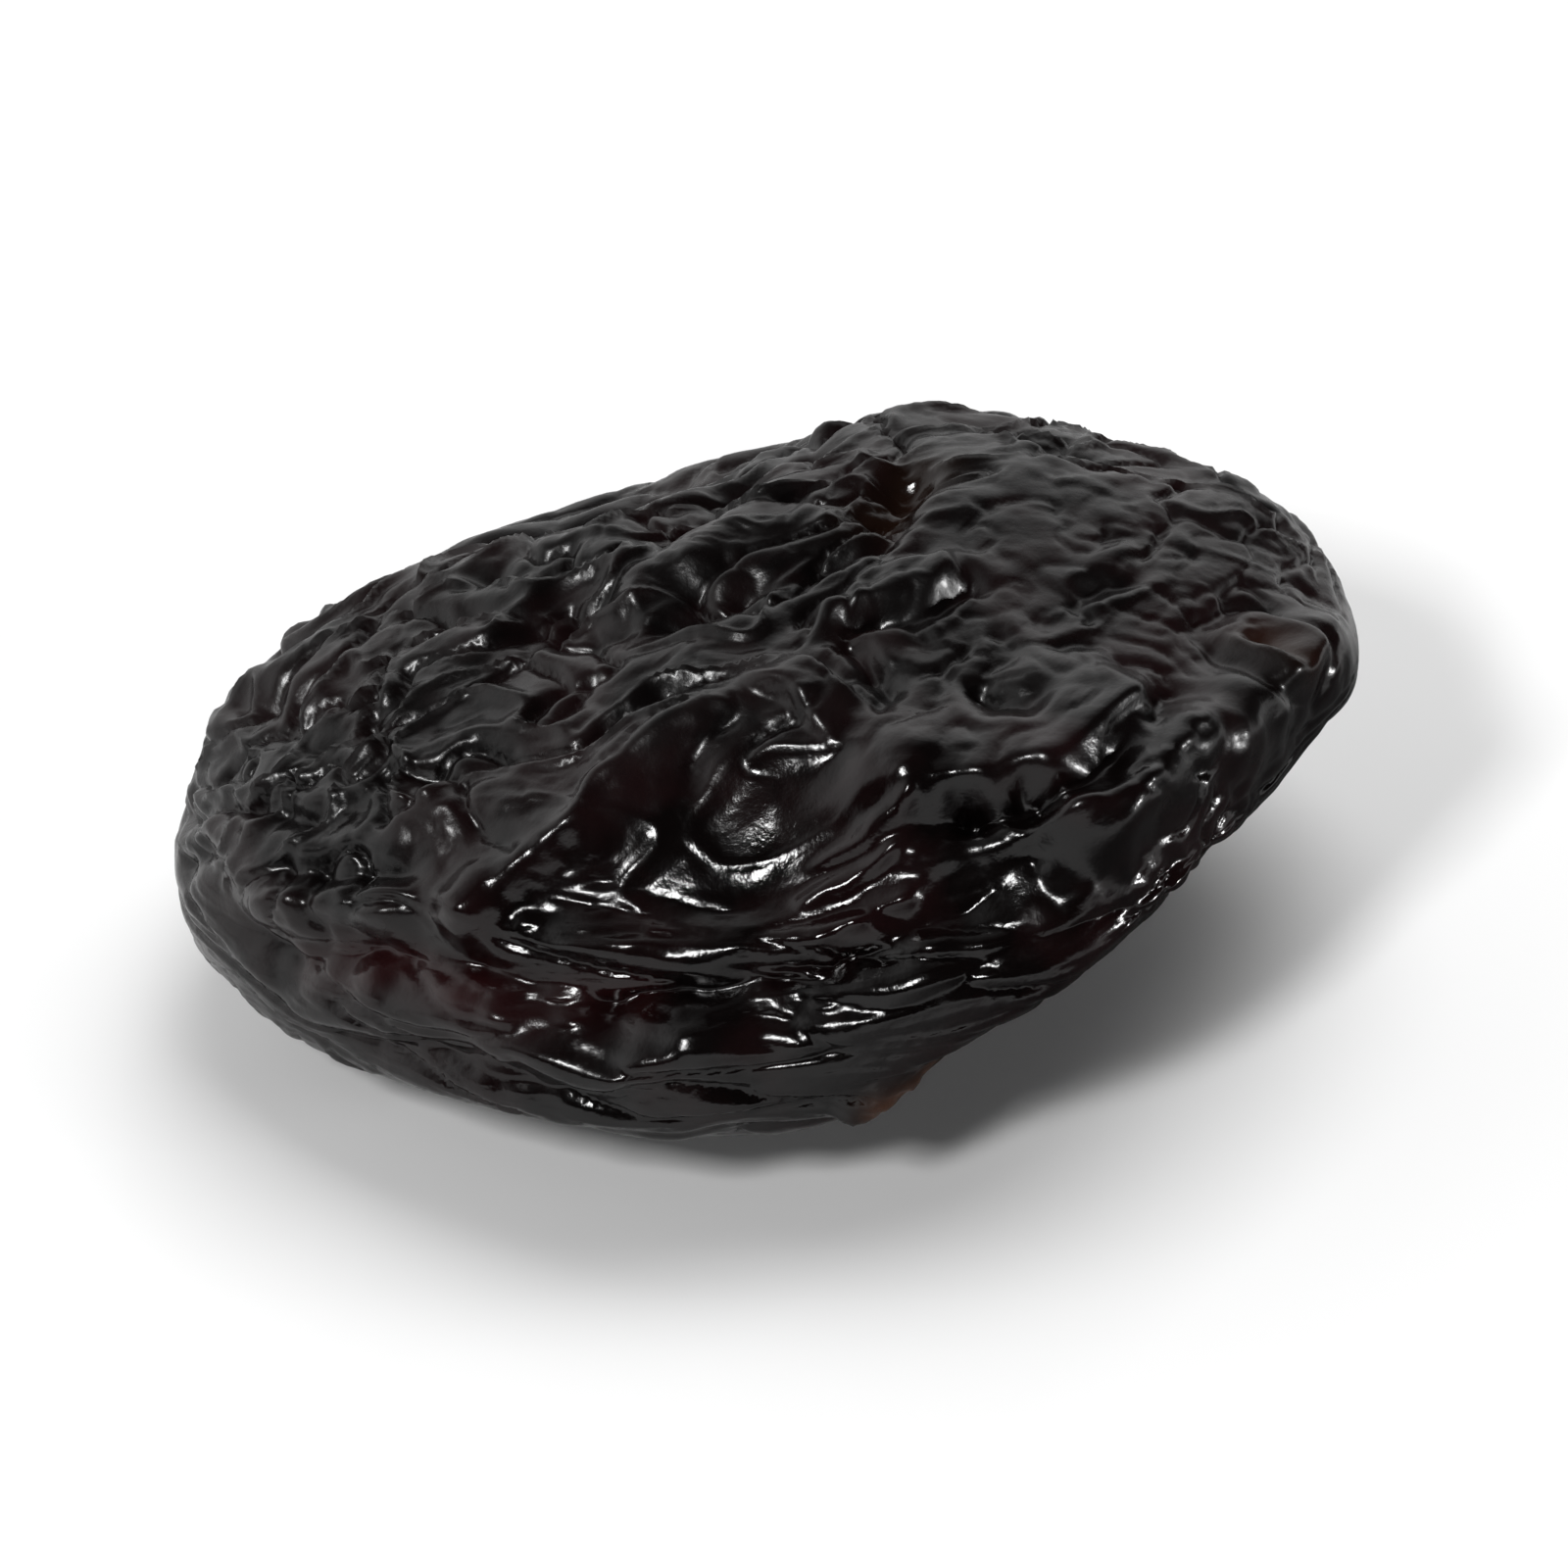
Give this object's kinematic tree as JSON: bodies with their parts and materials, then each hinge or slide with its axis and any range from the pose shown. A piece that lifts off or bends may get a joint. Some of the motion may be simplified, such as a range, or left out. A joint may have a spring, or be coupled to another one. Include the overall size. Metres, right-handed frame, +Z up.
{
  "type": "prune",
  "caption": "Pitted dried plum with a deeply wrinkled glossy near-black skin, plump and slightly flattened, lying on a small flat spot of its underside.",
  "frame": {"origin": "middle of the fruit's box, on the surface that it rests on", "axes": "+X along the fruit's length towards its raised end with the closed pitting mouth, +Y towards its back, +Z up"},
  "size_m": [0.0388, 0.0314, 0.0166],
  "materials": {
    "skin": "glossy"
  },
  "bodies": {
    "root": {"prune": "skin"}
  },
  "joints": []
}
